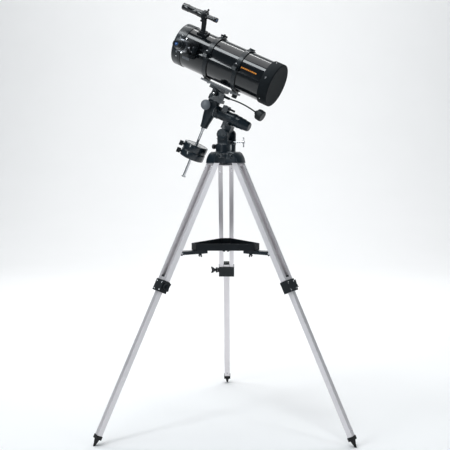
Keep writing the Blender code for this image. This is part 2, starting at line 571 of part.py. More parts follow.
# Finder: its own frame has Z out from the tube, X along it
finder = head @ Matrix.Translation(axis) @ Matrix.Rotation(radians(-finderAngle), 4, "X")
finderRise = 0.1370
stemX = 0.1160
solid("finder_bracket",
      [block((stemX - 0.0200, -0.0140, 0.0600), (stemX + 0.0150, 0.0140, 0.0745)),
       block((stemX - 0.0140, -0.0085, 0.0700), (stemX + 0.0090, 0.0085, 0.0800)),
       block((stemX - 0.0075, -0.0045, 0.0780), (stemX + 0.0065, 0.0045, finderRise - 0.0145)),
       turned([(0.0132, -0.0055), (0.0165, -0.0055), (0.0165, 0.0055), (0.0132, 0.0055)], "X",
              (stemX, 0, finderRise), 24)],
      [bar(tubeRadius + fit, 0.0, 0.2, "X", sides=48)], finder)
solid("finder_tube",
      [turned([(0, -0.0480), (0.0082, -0.0480), (0.0082, -0.0340), (0.0074, -0.0330), (0.0074, -0.0130),
               (0.0122, -0.0090), (0.0122, 0.0240), (0.0110, 0.0300), (0.0110, 0.0600), (0.0120, 0.0620),
               (0.0120, 0.0850), (0.0102, 0.0850), (0.0102, 0.0760), (0, 0.0760)], "X",
              (stemX, 0, finderRise), 20)],
      (), finder, (stemX, 0, finderRise))
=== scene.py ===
import json
import bmesh
import bpy
from math import atan2, cos, pi, radians, sin
from mathutils import Matrix, Vector


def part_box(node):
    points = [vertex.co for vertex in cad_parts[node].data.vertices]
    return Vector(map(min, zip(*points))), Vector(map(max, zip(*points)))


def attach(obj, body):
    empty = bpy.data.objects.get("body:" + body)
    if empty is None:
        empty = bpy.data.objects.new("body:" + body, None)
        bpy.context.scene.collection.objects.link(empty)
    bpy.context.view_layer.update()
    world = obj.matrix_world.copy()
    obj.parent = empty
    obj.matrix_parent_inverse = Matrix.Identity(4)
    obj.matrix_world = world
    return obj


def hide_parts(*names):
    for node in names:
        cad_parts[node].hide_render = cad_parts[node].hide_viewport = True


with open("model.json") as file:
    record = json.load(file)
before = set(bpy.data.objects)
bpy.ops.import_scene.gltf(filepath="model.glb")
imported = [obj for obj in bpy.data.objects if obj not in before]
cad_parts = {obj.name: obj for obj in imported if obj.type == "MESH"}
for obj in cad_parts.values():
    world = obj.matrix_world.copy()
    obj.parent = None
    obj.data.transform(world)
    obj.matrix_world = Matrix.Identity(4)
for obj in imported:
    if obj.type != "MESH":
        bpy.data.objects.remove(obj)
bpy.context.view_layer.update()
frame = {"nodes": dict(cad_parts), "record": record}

record = frame["record"]
jointOf = {j["name"]: j for j in record["behaviour"]["joints"]}
bodyOfNode = {n: b for b, nodes in record["behaviour"]["bodies"].items() for n in nodes}
slotOfNode = {s["node"]: s["material_slot"] for s in record["subparts"]}
slotNames = {m["slot"] for m in record["materials"]}


def jointAt(name):
    return Vector(jointOf[name]["pos_m"])


def jointAxis(name):
    return Vector(jointOf[name]["axis"]).normalized()


def shift(x, y, z):
    return Matrix.Translation((x, y, z))


def turned(degreesTurned, axis):
    return Matrix.Rotation(radians(degreesTurned), 4, axis)


def frameOf(place, x, y, z):
    # A matrix from a place and three axes
    return Matrix.Translation(place) @ Matrix((x, y, z)).transposed().to_4x4()


# Working frames, all read from the joints
polarAxis = jointAxis("ra_axis_turn")
decAxis = -jointAxis("dec_axis_turn")
crossing = jointAt("ra_axis_turn")
head = frameOf(crossing, polarAxis, decAxis.cross(polarAxis), decAxis)
tubeRise = (jointAt("tube_roll") - crossing).dot(decAxis)
standAt = jointAt("azimuth_turn")
forkAxis = jointAxis("latitude_screw_turn")
upwards = Vector((0, 0, 1))
fork = frameOf((standAt.x, standAt.y, jointAt("altitude_tilt").z), forkAxis, upwards.cross(forkAxis), upwards)
legs = {}
for side in ("left", "right", "rear"):
    legUp = jointAxis("leg_%s_extension" % side)
    legAcross = jointAxis("leg_%s_swing" % side)
    legs[side] = frameOf(jointAt("leg_%s_swing" % side), legAcross, legUp.cross(legAcross), legUp)
print("frames ready")

turnTo = {"X": turned(90, "Y"), "-X": turned(-90, "Y"), "Y": turned(-90, "X"), "-Y": turned(90, "X"),
          "Z": Matrix.Identity(4), "-Z": turned(180, "X")}


# A socket that can be added and multiplied
class Wire:
    def __init__(self, tree, socket):
        self.tree = tree
        self.socket = socket

    def maths(self, operation, first, second):
        node = self.tree.nodes.new("ShaderNodeMath")
        node.operation = operation
        for i, value in enumerate((first, second)):
            if isinstance(value, Wire):
                self.tree.links.new(value.socket, node.inputs[i])
            else:
                node.inputs[i].default_value = value
        return Wire(self.tree, node.outputs[0])

    def __add__(self, other):
        return self.maths("ADD", self, other)

    def __radd__(self, other):
        return self.maths("ADD", other, self)

    def __mul__(self, other):
        return self.maths("MULTIPLY", self, other)

    def __rmul__(self, other):
        return self.maths("MULTIPLY", other, self)


class Finish:
    def __init__(self, name, fixed):
        self.material = bpy.data.materials.new(name)
        self.material.use_nodes = True
        self.tree = self.material.node_tree
        self.tree.nodes.clear()
        self.shader = self.tree.nodes.new("ShaderNodeBsdfPrincipled")
        for key, value in fixed.items():
            self.shader.inputs[key].default_value = value
        self.add("ShaderNodeOutputMaterial", {}, {"Surface": Wire(self.tree, self.shader.outputs[0])})
        self.where = self.add("ShaderNodeTexCoord", {}, {}, "Object")

    # Any node: its type, its settings, its sockets, and the output wanted
    def add(self, kind, settings, sockets, out=0):
        node = self.tree.nodes.new(kind)
        for key, value in settings.items():
            setattr(node, key, value)
        for key, value in sockets.items():
            if isinstance(value, Wire):
                self.tree.links.new(value.socket, node.inputs[key])
            else:
                node.inputs[key].default_value = value
        return Wire(self.tree, node.outputs[out]) if len(node.outputs) else None

    def noise(self, scale, detail=3.0, rough=0.55, vector=None):
        return self.add("ShaderNodeTexNoise", {}, {"Vector": vector or self.where, "Scale": scale,
                                                   "Detail": detail, "Roughness": rough}, "Fac")

    def stretch(self, scale, rotation=(0, 0, 0)):
        return self.add("ShaderNodeMapping", {"vector_type": "TEXTURE"},
                        {"Vector": self.where, "Rotation": rotation, "Scale": scale}, "Vector")

    def spread(self, value, low, high, start=0.3, end=0.7):
        return self.add("ShaderNodeMapRange", {}, {"Value": value, "From Min": start, "From Max": end,
                                                   "To Min": low, "To Max": high}, "Result")

    def blend(self, amount, first, second):
        # The colour sockets of a Mix node are inputs 6 and 7 and output 2
        return self.add("ShaderNodeMix", {"data_type": "RGBA"}, {0: amount, 6: first, 7: second}, 2)

    def bump(self, height, strength, distance):
        return self.add("ShaderNodeBump", {}, {"Height": height, "Strength": strength, "Distance": distance},
                        "Normal")

    def feed(self, **wires):
        names = {"colour": "Base Color", "rough": "Roughness", "coat": "Coat Weight", "normal": "Normal"}
        for key, wire in wires.items():
            if wire is not None:
                self.tree.links.new(wire.socket, self.shader.inputs[names[key]])
        return self.material


def rgb(r, g, b):
    return (r, g, b, 1.0)


# Painted or moulded surface: two tones, a fine skin and rubbed patches
def paintedSkin(name, s):
    f = Finish(name, {"IOR": 1.5, "Specular IOR Level": s.get("gleam", 0.3),
                      "Coat Roughness": s.get("coatRough", 0.08)})
    cloud = f.spread(f.noise(s["cloud"], 4), 0, 1)
    grain = f.noise(s["grain"], 2, 0.6)
    rub = f.spread(f.noise(s["rub"], 5, 0.7), 0, 1, 0.62, 0.78)
    tone = f.blend(cloud, s["dark"], s["light"])
    tone = f.blend(rub * s["rubAmount"], tone, s["worn"])
    rough = f.spread(grain, s["rough"] - s["roughSpan"], s["rough"] + s["roughSpan"]) + rub * 0.06
    coat = f.spread(cloud, s["coat"], s["coat"] * 0.85, 0, 1) if s["coat"] else None
    lift = grain * 0.7 + f.noise(s["grain"] * 0.23, 3) * 0.3
    return f.feed(colour=tone, rough=rough, coat=coat, normal=f.bump(lift, s["bump"], s["depth"]))


# Bare metal: drawn or turned streaks, a little haze
def bareMetal(name, s):
    f = Finish(name, {"Metallic": s.get("metal", 1.0)})
    streak = f.noise(s["streak"], 4, 0.65, f.stretch(s["along"], s.get("turn", (0, 0, 0))))
    haze = f.spread(f.noise(s["haze"], 3), 0, 1)
    tone = f.blend(haze, s["dark"], s["light"])
    tone = f.blend(f.spread(streak, 0, s["contrast"]), tone, s["line"])
    rough = f.spread(streak, s["rough"] - s["roughSpan"], s["rough"] + s["roughSpan"]) + haze * 0.03
    return f.feed(colour=tone, rough=rough, normal=f.bump(streak, s["bump"], s["depth"]))


castSkin = dict(dark=rgb(0.0038, 0.0085, 0.0130), light=rgb(0.0078, 0.0165, 0.0245),
                worn=rgb(0.045, 0.060, 0.072), cloud=26, grain=1500, rub=55, rubAmount=0.30, rough=0.34,
                roughSpan=0.07, coat=0.25, bump=0.25, depth=0.00025, coatRough=0.2)
chromeSkin = dict(streak=60, along=(1, 1, 0.05), haze=40, dark=rgb(0.66, 0.67, 0.69),
                  light=rgb(0.80, 0.80, 0.81), line=rgb(0.55, 0.56, 0.58), contrast=0.25, rough=0.13,
                  roughSpan=0.04, bump=0.05, depth=0.00005)
legSkin = dict(streak=420, along=(1, 1, 60), haze=9, dark=rgb(0.73, 0.70, 0.72), light=rgb(0.81, 0.78, 0.80),
               line=rgb(0.90, 0.87, 0.88), contrast=0.45, rough=0.40, roughSpan=0.06, bump=0.10,
               depth=0.0001, metal=0.6)
skins = {
    "black_casting": paintedSkin("blueBlackCasting", castSkin),
    "weight_iron": paintedSkin("weightEnamel", dict(
        castSkin, grain=900, rough=0.30, coat=1.0, coatRough=0.05, depth=0.00015)),
    "grey_casting": paintedSkin("greyCasting", dict(
        castSkin, dark=rgb(0.085, 0.095, 0.108), light=rgb(0.135, 0.148, 0.165), worn=rgb(0.22, 0.23, 0.25),
        rough=0.36)),
    "black_plastic": paintedSkin("mouldedBlack", dict(
        castSkin, dark=rgb(0.0045, 0.0065, 0.0085), light=rgb(0.0085, 0.0120, 0.0155),
        worn=rgb(0.05, 0.052, 0.056), grain=2300, rough=0.42, coat=0.0, depth=0.00015)),
    "ring_paint": paintedSkin("ringPaint", dict(
        castSkin, dark=rgb(0.0060, 0.0095, 0.0125), light=rgb(0.0105, 0.0160, 0.0205), grain=1900,
        rough=0.28, coat=0.3, depth=0.00012)),
    "gloss_black_tube": paintedSkin("glossTubeEnamel", dict(
        castSkin, dark=rgb(0.0028, 0.0042, 0.0056), light=rgb(0.0045, 0.0066, 0.0088),
        worn=rgb(0.03, 0.032, 0.036), grain=420, rub=30, rubAmount=0.12, rough=0.12, roughSpan=0.025,
        coat=0.7, bump=0.05, depth=0.0002, coatRough=0.03)),
    "matte_black": paintedSkin("matteBlackCell", dict(
        castSkin, dark=rgb(0.0028, 0.0050, 0.0066), light=rgb(0.0050, 0.0085, 0.0110),
        worn=rgb(0.03, 0.034, 0.038), gleam=0.14, grain=2600, rough=0.62, coat=0.0, depth=0.00012)),
    "foot_rubber": paintedSkin("footRubber", dict(
        castSkin, dark=rgb(0.008, 0.008, 0.009), light=rgb(0.018, 0.018, 0.019),
        worn=rgb(0.09, 0.085, 0.078), grain=800, rough=0.72, coat=0.0, depth=0.0005, rubAmount=0.5)),
    "bright_chrome": bareMetal("brightChrome", chromeSkin),
    "duskyChrome": bareMetal("duskyChrome", dict(
        chromeSkin, dark=rgb(0.20, 0.21, 0.225), light=rgb(0.30, 0.31, 0.33), line=rgb(0.16, 0.17, 0.18),
        rough=0.26, roughSpan=0.05)),
    "mirror_coating": bareMetal("mirrorCoating", dict(
        streak=30, along=(1, 1, 1), haze=12, dark=rgb(0.84, 0.86, 0.88), light=rgb(0.90, 0.91, 0.93),
        line=rgb(0.80, 0.82, 0.86), contrast=0.2, rough=0.03, roughSpan=0.01, bump=0.01, depth=0.00001)),
}
for side, legFrame in legs.items():
    skins["aluminium_" + side] = bareMetal("drawnAluminium" + side.capitalize(), dict(
        legSkin, turn=tuple(legFrame.to_euler())))
skins["satin_aluminium"] = skins["aluminium_rear"]
skins["whiteMark"] = paintedSkin("whiteMark", dict(
    castSkin, dark=rgb(0.6, 0.6, 0.6), light=rgb(0.7, 0.7, 0.7), worn=rgb(0.45, 0.45, 0.45), rough=0.5,
    coat=0.0))
skins["orangeMark"] = paintedSkin("orangeMark", dict(
    castSkin, dark=rgb(0.62, 0.20, 0.015), light=rgb(0.75, 0.27, 0.02), worn=rgb(0.4, 0.16, 0.04), rough=0.4,
    coat=0.3))
skins["blueLens"] = paintedSkin("coatedLens", dict(
    castSkin, dark=rgb(0.010, 0.045, 0.16), light=rgb(0.03, 0.12, 0.36), worn=rgb(0.02, 0.06, 0.2),
    rough=0.06, roughSpan=0.01, coat=1.0, depth=0.00001, bump=0.01, coatRough=0.02))
print("finishes ready:", len(skins))


def finished(bm, name, body, skin, slot=None, matrix=None):
    if matrix is not None:
        bmesh.ops.transform(bm, matrix=matrix, verts=bm.verts)
    bmesh.ops.remove_doubles(bm, verts=bm.verts, dist=1e-6)
    bmesh.ops.recalc_face_normals(bm, faces=bm.faces)
    mesh = bpy.data.meshes.new(name)
    bm.to_mesh(mesh)
    bm.free()
    mesh.shade_smooth()
    mesh.set_sharp_from_angle(angle=radians(34))
    piece = bpy.data.objects.new(name, mesh)
    bpy.context.scene.collection.objects.link(piece)
    mesh.materials.append(skins[skin])
    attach(piece, body)
    return piece


def slotOfSkin(skin):
    return skin if skin in slotNames else None


def lathe(profile, axis="Z", at=(0, 0, 0), steps=96):
    # A closed outline of (radius, height) pairs spun round an axis
    bm = bmesh.new()
    ring = [bm.verts.new((r, 0, h)) for r, h in profile]
    edges = [bm.edges.new((ring[i], ring[(i + 1) % len(ring)])) for i in range(len(ring))]
    bmesh.ops.spin(bm, geom=ring + edges, cent=(0, 0, 0), axis=(0, 0, 1), angle=2 * pi, steps=steps,
                   use_merge=True)
    bmesh.ops.remove_doubles(bm, verts=bm.verts, dist=1e-6)
    bmesh.ops.dissolve_degenerate(bm, dist=1e-6, edges=bm.edges)
    bmesh.ops.transform(bm, matrix=Matrix.Translation(at) @ turnTo[axis], verts=bm.verts)
    return bm


def grow(bm, vec):
    # Extrude every face and move the new ones, which are handed back
    grown = bmesh.ops.extrude_face_region(bm, geom=bm.faces[:])["geom"]
    bmesh.ops.translate(bm, vec=vec, verts=[g for g in grown if isinstance(g, bmesh.types.BMVert)])
    return [g for g in grown if isinstance(g, bmesh.types.BMFace)]


def takeIn(bm, other):
    # Add a second shape to the first
    mesh = bpy.data.meshes.new("part")
    other.to_mesh(mesh)
    other.free()
    bm.from_mesh(mesh)


def softCube(size, edge, segments):
    bm = bmesh.new()
    bmesh.ops.create_cube(bm, size=1.0)
    bmesh.ops.scale(bm, vec=size, verts=bm.verts)
    if edge:
        bmesh.ops.bevel(bm, geom=bm.edges[:], offset=edge, affect="EDGES", segments=segments, profile=0.5,
                        material=-1)
    return bm


# Copy of a CAD piece with merged corners and softened edges
refineShape = {"edge": 0.0005, "segments": 2, "from": 38, "flat": 1.0, "smooth": 36}
replaced = set()


def refineNode(node, skin, s):
    source = frame["nodes"][node]
    bm = bmesh.new()
    bm.from_mesh(source.data)
    bmesh.ops.transform(bm, matrix=source.matrix_world, verts=bm.verts)
    bmesh.ops.remove_doubles(bm, verts=bm.verts, dist=2e-6)
    bmesh.ops.dissolve_limit(bm, angle_limit=radians(s["flat"]), use_dissolve_boundaries=False,
                             verts=bm.verts, edges=bm.edges)
    mesh = bpy.data.meshes.new("fine_" + node)
    bm.to_mesh(mesh)
    bm.free()
    mesh.shade_smooth()
    mesh.set_sharp_from_angle(angle=radians(s["smooth"]))
    piece = bpy.data.objects.new("fine_" + node, mesh)
    bpy.context.scene.collection.objects.link(piece)
    mesh.materials.append(skins[skin])
    if s["edge"]:
        soft = piece.modifiers.new("softEdge", "BEVEL")
        soft.width = s["edge"]
        soft.segments = s["segments"]
        soft.limit_method = "ANGLE"
        soft.angle_limit = radians(s["from"])
    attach(piece, bodyOfNode[node])
    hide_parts(node)


# Optical tube, with the round port under the focuser
tubeShape = {"radius": 0.0690, "wall": 0.0015, "front": 0.1865, "back": -0.1745, "steps": 160,
             "port": (0.126, 0.07), "portRadius": 0.0190}


def opticalTube(s):
    inner = s["radius"] - s["wall"]
    bm = lathe([(inner, s["back"]), (s["radius"], s["back"]), (s["radius"], s["front"]), (inner, s["front"])],
               "X", (0, 0, tubeRise), s["steps"])
    port = bmesh.new()
    bmesh.ops.create_cone(port, cap_ends=True, segments=48, radius1=s["portRadius"], radius2=s["portRadius"],
                          depth=0.04)
    x, y = s["port"]
    bmesh.ops.transform(port, matrix=head @ shift(x, y, tubeRise) @ turnTo["Y"], verts=port.verts)
    piece = finished(bm, "glossTube", "tube_body", "gloss_black_tube", "gloss_black_tube", matrix=head)
    cutMesh = bpy.data.meshes.new("portCut")
    port.to_mesh(cutMesh)
    port.free()
    cutter = bpy.data.objects.new("portCut", cutMesh)
    bpy.context.scene.collection.objects.link(cutter)
    hole = piece.modifiers.new("port", "BOOLEAN")
    hole.operation = "DIFFERENCE"
    hole.object = cutter
    hole.solver = "EXACT"
    ready = piece.evaluated_get(bpy.context.evaluated_depsgraph_get())
    mesh = bpy.data.meshes.new_from_object(ready)
    piece.modifiers.clear()
    piece.data = mesh
    mesh.materials.clear()
    mesh.materials.append(skins["gloss_black_tube"])
    mesh.shade_smooth()
    mesh.set_sharp_from_angle(angle=radians(34))
    bpy.data.objects.remove(cutter, do_unlink=True)
    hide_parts("tube")
    replaced.add("tube")


# Turned pieces on the tube's axis, as (radius, distance from the end) pairs
frontBandShape = {"end": 0.1890, "steps": 160, "profile": (
    (0.0693, -0.0340), (0.0704, -0.0340), (0.0709, -0.0337), (0.0712, -0.0330), (0.0712, -0.0290),
    (0.0707, -0.0286), (0.0707, -0.0276), (0.0712, -0.0272), (0.0712, -0.0018), (0.0709, -0.0008),
    (0.0703, -0.0002), (0.0695, 0), (0.0676, 0), (0.0668, -0.0004), (0.0665, -0.0012), (0.0665, -0.0022),
    (0.0693, -0.0022))}
rearCellShape = {"end": -0.1850, "steps": 160, "profile": (
    (0.0693, 0.0350), (0.0716, 0.0350), (0.0721, 0.0347), (0.0724, 0.0340), (0.0724, 0.0030),
    (0.0721, 0.0016), (0.0715, 0.0006), (0.0704, 0), (0.0690, 0), (0.0684, 0.0005), (0.0672, 0.0006),
    (0, 0.0006), (0, 0.0075), (0.0520, 0.0075), (0.0520, 0.0045), (0.0693, 0.0045))}
mirrorShape = {"end": -0.1850, "steps": 96, "profile": (
    (0, 0.0078), (0.0565, 0.0078), (0.0570, 0.0083), (0.0570, 0.0230), (0.0560, 0.0242), (0.0450, 0.0238),
    (0.0300, 0.0235), (0.0150, 0.0233), (0, 0.0232))}


def bandPiece(name, node, skin, s):
    profile = [(r, s["end"] + h) for r, h in s["profile"]]
    piece = finished(lathe(profile, "X", (0, 0, tubeRise), s["steps"]), name, bodyOfNode[node], skin,
                     slotOfNode[node], matrix=head)
    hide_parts(node)
    replaced.add(node)


opticalTube(tubeShape)
bandPiece("frontBand", "front_band", "ring_paint", frontBandShape)
bandPiece("rearCell", "rear_cell", "matte_black", rearCellShape)
bandPiece("mainMirror", "primary_mirror", "mirror_coating", mirrorShape)


# Small screw: a domed head with a round recess
def screwHead(name, matrix, body, radius, height, skin="bright_chrome"):
    bm = bmesh.new()
    bmesh.ops.create_circle(bm, cap_ends=True, segments=20, radius=radius)
    top = grow(bm, (0, 0, height * 0.6))
    bmesh.ops.inset_region(bm, faces=top, thickness=radius * 0.28, depth=height * 0.4)
    bmesh.ops.inset_region(bm, faces=top, thickness=radius * 0.25, depth=0)
    bmesh.ops.inset_region(bm, faces=top, thickness=radius * 0.02, depth=-height * 0.45)
    return finished(bm, name, body, skin, slotOfSkin(skin), matrix=matrix)


def tubeSpot(x, angle, radius):
    # A point on the tube, its Z pointing outwards; the angle runs from the top towards the viewer
    return head @ shift(x, 0, tubeRise) @ turned(-angle, "X") @ shift(0, 0, radius)


bandScrewShape = {"angles": (20, 80, 140, 200, 260, 320), "cell": (-0.1620, 0.0722, 0.0023, 0.0013),
                  "band": (0.1680, 0.0710, 0.0021, 0.0012), "bandTurn": -14}


def bandScrews(s):
    for i, angle in enumerate(s["angles"]):
        x, out, radius, height = s["cell"]
        screwHead("cellScrew%d" % i, tubeSpot(x, angle, out), "tube_body", radius, height)
        x, out, radius, height = s["band"]
        screwHead("bandScrew%d" % i, tubeSpot(x, angle + s["bandTurn"], out), "tube_body", radius, height)


bandScrews(bandScrewShape)
print("tube and bands ready")

# Thin felt strips at the edges of both tube rings
padShape = {"inner": 0.06905, "outer": 0.0705, "half": 0.0006, "ringHalf": 0.0075, "steps": 96,
            "places": (("Front", 0.056), ("Rear", -0.056))}


def ringPads(s):
    for side, place in s["places"]:
        for end in (-1, 1):
            x = place + end * s["ringHalf"]
            low, high = x - s["half"], x + s["half"]
            bm = lathe([(s["inner"], low), (s["outer"], low), (s["outer"], high), (s["inner"], high)], "X",
                       (0, 0, tubeRise), s["steps"])
            finished(bm, "feltEdge%s%d" % (side, end + 1), "dec_head", "foot_rubber", None, matrix=head)


ringPads(padShape)

# Plain bars in place of lettering, and a blank plate by the focuser
markShape = {"start": -0.0700, "step": 0.0066, "length": 0.0048, "count": 9, "angles": (78.5, 82.2),
             "plate": (0.1440, 0.1180), "plateAngles": (118, 126), "radius": 0.0692, "thick": 0.00025,
             "steps": 14}


def curvedMark(name, ends, angles, skin, s):
    bm = bmesh.new()
    low, high = radians(angles[0]), radians(angles[1])
    y, z = s["radius"] * sin(low), s["radius"] * cos(low)
    first, last = [bm.verts.new((x, y, z)) for x in ends]
    edge = bm.edges.new((first, last))
    bmesh.ops.spin(bm, geom=[first, last, edge], cent=(0, 0, 0), axis=(1, 0, 0), angle=low - high,
                   steps=s["steps"], use_merge=False)
    bmesh.ops.recalc_face_normals(bm, faces=bm.faces)
    if bm.faces[:][0].normal.dot(Vector((0, sin(low), cos(low)))) < 0:
        bmesh.ops.reverse_faces(bm, faces=bm.faces)
    bmesh.ops.solidify(bm, geom=bm.faces[:], thickness=-s["thick"])
    finished(bm, name, "tube_body", skin, None, matrix=head @ shift(0, 0, tubeRise))


def tubeMarks(s):
    for i in range(s["count"]):
        x = s["start"] - s["step"] * i
        curvedMark("orangeBar%d" % i, (x, x - s["length"]), s["angles"], "orangeMark", s)
    curvedMark("blankPlate", s["plate"], s["plateAngles"], "grey_casting", s)


tubeMarks(markShape)

# Secondary mirror face, held at a slant in front of the drawtube
secondShape = {"x": 0.126, "radius": 0.0146, "long": 1.40, "thick": 0.0008, "slant": 45, "lift": 0.0002}


def secondMirror(s):
    bm = bmesh.new()
    bmesh.ops.create_circle(bm, cap_ends=True, segments=64, radius=s["radius"])
    bmesh.ops.scale(bm, vec=(s["long"], 1, 1), verts=bm.verts)
    grow(bm, (0, 0, s["thick"]))
    slant = shift(s["x"], 0, tubeRise) @ turned(s["slant"], "Z") @ turnTo["Y"]
    finished(bm, "secondaryMirror", "tube_body", "mirror_coating", "mirror_coating",
             matrix=head @ slant @ shift(0, 0, s["lift"]))


secondMirror(secondShape)


def ribbed(radius, low, high, ribs, depth, chamfer=0.0008):
    # A knob with cut ribs round its rim
    bm = bmesh.new()
    bmesh.ops.create_circle(bm, cap_ends=True, segments=ribs * 4, radius=radius)
    for i, v in enumerate(bm.verts):
        if i % 4 in (0, 1):
            v.co *= (radius - depth) / radius
    top = grow(bm, (0, 0, high - low - chamfer))
    bmesh.ops.inset_region(bm, faces=top, thickness=chamfer, depth=chamfer)
    bmesh.ops.inset_region(bm, faces=top, thickness=radius * 0.22, depth=-chamfer * 0.8)
    bmesh.ops.translate(bm, vec=(0, 0, low), verts=bm.verts)
    return bm


# Pair of focus wheels on one pinion shaft
wheelShape = {"x": 0.1020, "y": 0.0850, "radius": 0.0095, "inner": 0.0185, "outer": 0.0300, "ribs": 28,
              "depth": 0.0006, "shaft": 0.0021, "shaftLength": 0.0560}


def focusWheels(s):
    bm = bmesh.new()
    bmesh.ops.create_cone(bm, cap_ends=True, segments=24, radius1=s["shaft"], radius2=s["shaft"],
                          depth=s["shaftLength"])
    for sign in (-1, 1):
        wheel = ribbed(s["radius"], s["inner"], s["outer"], s["ribs"], s["depth"])
        if sign < 0:
            bmesh.ops.scale(wheel, vec=(1, 1, -1), verts=wheel.verts)
            bmesh.ops.reverse_faces(wheel, faces=wheel.faces)
        takeIn(bm, wheel)
    piece = finished(bm, "focusWheels", "focus_shaft", "black_plastic", "black_plastic",
                     matrix=head @ shift(s["x"], s["y"], tubeRise))
    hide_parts("focus_knobs")
    replaced.add("focus_knobs")


focusWheels(wheelShape)

# Drawtube, eyepiece and their screws, as (radius, distance from the tube's axis) pairs
focusShape = {
    "x": 0.126, "steps": 96,
    "drawtube": ((0.0160, 0.0560), (0.0184, 0.0560), (0.0184, 0.1180), (0.0200, 0.1182), (0.0205, 0.1188),
                 (0.0205, 0.1215), (0.0199, 0.1220), (0.0199, 0.1226), (0.0205, 0.1231), (0.0205, 0.1325),
                 (0.0200, 0.1336), (0.0190, 0.1342), (0.0178, 0.1345), (0.0160, 0.1345)),
    "eyepiece": ((0.0120, 0.1050), (0.0157, 0.1050), (0.0157, 0.1348), (0.0160, 0.1349), (0.0165, 0.1356),
                 (0.0165, 0.1392), (0.0160, 0.1396), (0.0160, 0.1402), (0.0165, 0.1406), (0.0165, 0.1444),
                 (0.0160, 0.1448), (0.0160, 0.1454), (0.0165, 0.1458), (0.0165, 0.1496), (0.0160, 0.1512),
                 (0.0146, 0.1536), (0.0139, 0.1580), (0.0132, 0.1640), (0.0128, 0.1700), (0.0123, 0.1722),
                 (0.0112, 0.1730), (0.0080, 0.1727), (0.0064, 0.1712), (0.0058, 0.1690), (0, 0.1690),
                 (0, 0.1090), (0.0120, 0.1080)),
    "band": ((0.01440, 0.1541), (0.01450, 0.1550), (0.01420, 0.1572), (0.0136, 0.1572), (0.0136, 0.1541)),
    "lens": ((0, 0.1692), (0.0056, 0.1692), (0.0056, 0.1698), (0.0048, 0.1704), (0.0034, 0.1709),
             (0.0017, 0.1712), (0, 0.1713)),
    "collarAt": 0.1270, "collarTurns": (35, 155, 275),
    "collarScrew": ((0, 0.0200), (0.0014, 0.0200), (0.0014, 0.0245), (0.0026, 0.0247), (0.0028, 0.0252),
                    (0.0028, 0.0290), (0.0024, 0.0296), (0, 0.0297)),
    "saddleAt": 0.0744, "saddleScrews": ((-0.0245, -0.0240), (-0.0245, 0.0240), (0.0195, -0.0240),
                                         (0.0195, 0.0240)),
    "pinionAt": (-0.0215, 0.0909), "pinionScrews": (-0.0075, 0.0075)}


def focuserBits(s):
    x = s["x"]
    axis = (x, 0, tubeRise)
    piece = finished(lathe(s["drawtube"], "Y", axis, s["steps"]), "drawtubeFine", "drawtube_body",
                     "duskyChrome", "bright_chrome", matrix=head)
    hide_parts("drawtube")
    replaced.add("drawtube")
    eye = finished(lathe(s["eyepiece"], "Y", axis, s["steps"]), "eyepieceFine", "eyepiece_body",
                   "black_plastic", "black_plastic", matrix=head)
    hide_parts("eyepiece")
    replaced.add("eyepiece")
    finished(lathe(s["band"], "Y", axis, s["steps"]), "eyepieceBand", "eyepiece_body", "duskyChrome",
             "bright_chrome", matrix=head)
    finished(lathe(s["lens"], "Y", axis, 64), "eyeLens", "eyepiece_body", "blueLens", None, matrix=head)
    # Set screws round the drawtube's collar
    for i, turn in enumerate(s["collarTurns"]):
        spot = head @ shift(x, s["collarAt"], tubeRise) @ turned(turn, "Y")
        finished(lathe(s["collarScrew"], steps=28), "collarScrew%d" % i, "drawtube_body", "duskyChrome",
                 "bright_chrome", matrix=spot)
    # Four corner screws of the saddle, and two on the pinion's cover plate
    for i, (dx, dz) in enumerate(s["saddleScrews"]):
        spot = head @ shift(x + dx, s["saddleAt"], tubeRise + dz) @ turnTo["Y"]
        screwHead("saddleScrew%d" % i, spot, "tube_body", 0.0026, 0.0014)
    for i, dz in enumerate(s["pinionScrews"]):
        spot = head @ shift(x + s["pinionAt"][0], s["pinionAt"][1], tubeRise + dz) @ turnTo["Y"]
        screwHead("pinionScrew%d" % i, spot, "tube_body", 0.0018, 0.0010)


focuserBits(focusShape)
print("focuser and eyepiece ready")

# Finder: its tube and lenses, as (radius, distance along it) pairs, and its screws
finderShape = {
    "angle": 32, "rise": 0.1370, "stem": 0.1160,
    "tube": ((0, -0.0455), (0.0070, -0.0460), (0.0078, -0.0480), (0.0082, -0.0472), (0.0082, -0.0345),
             (0.0079, -0.0333), (0.0074, -0.0330), (0.0074, -0.0130), (0.0080, -0.0124), (0.0118, -0.0096),
             (0.0122, -0.0086), (0.0122, 0.0240), (0.0118, 0.0262), (0.0112, 0.0296), (0.0110, 0.0310),
             (0.0110, 0.0598), (0.0113, 0.0604), (0.0120, 0.0616), (0.0120, 0.0640), (0.0117, 0.0644),
             (0.0117, 0.0650), (0.0120, 0.0654), (0.0120, 0.0838), (0.0117, 0.0848), (0.0112, 0.0850),
             (0.0104, 0.0848), (0.0102, 0.0842), (0.0102, 0.0760), (0, 0.0760)),
    "lens": ((0, 0.0762), (0.0101, 0.0762), (0.0101, 0.0768), (0.0078, 0.0778), (0.0045, 0.0786),
             (0, 0.0789)),
    "eyeLens": ((0, -0.0462), (0.0045, -0.0462), (0.0045, -0.0458), (0, -0.0457)),
    "aimTurns": (60, 300, 240),
    "aimScrew": ((0, 0.0123), (0.0013, 0.0123), (0.0013, 0.0200), (0.0030, 0.0202), (0.0033, 0.0208),
                 (0.0033, 0.0243), (0.0028, 0.0250), (0, 0.0251)),
    "footScrews": (-0.0085, 0.0085), "footBack": -0.0155, "footRise": 0.0743}


